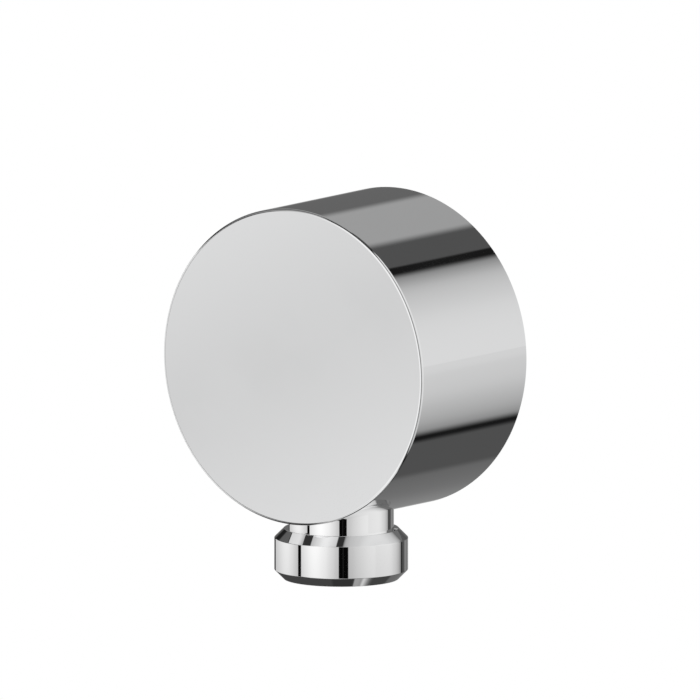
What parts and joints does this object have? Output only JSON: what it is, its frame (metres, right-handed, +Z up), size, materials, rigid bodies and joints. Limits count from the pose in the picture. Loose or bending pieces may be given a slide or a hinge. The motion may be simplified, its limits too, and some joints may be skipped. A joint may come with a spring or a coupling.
{
  "type": "wall outlet elbow",
  "caption": "Round chromed wall outlet elbow for a shower hose: a plain drum on the wall with a turned threaded stub below, and a check valve inside.",
  "frame": {"origin": "centre of the drum's flat back face, on the wall's surface, on the wall thread's axis", "axes": "+Y into the wall along the wall thread, -Y out of the wall through the plain front face, +Z up, hose stub pointing down along -Z"},
  "size_m": [0.05, 0.04, 0.06],
  "materials": {
    "polished_chrome": "polished",
    "turned_brass": "turned",
    "bare_steel": "plain",
    "black_rubber": "matt",
    "gasket_rubber": "matt",
    "valve_plastic": "moulded"
  },
  "bodies": {
    "fitting": {"drum_body": "polished_chrome", "outlet_nipple": "polished_chrome", "nipple_seal_ring": "black_rubber", "wall_nipple": "turned_brass", "spigot_seal_ring_front": "black_rubber", "spigot_seal_ring_back": "black_rubber", "locking_screw": "bare_steel", "wall_gasket": "gasket_rubber", "valve_housing": "valve_plastic", "valve_guide": "valve_plastic", "valve_spring": "bare_steel", "valve_seal_ring": "black_rubber"},
    "poppet": {"valve_poppet": "valve_plastic", "poppet_seal": "black_rubber"}
  },
  "joints": [
    {"name": "poppet_lift", "type": "slide", "parent": "fitting", "child": "poppet", "axis": [0, 0, -1], "range_m": [0, 0.0016], "stiffness_N_per_m": 80, "springref_m": -0.002, "deforming": ["valve_spring"]}
  ]
}
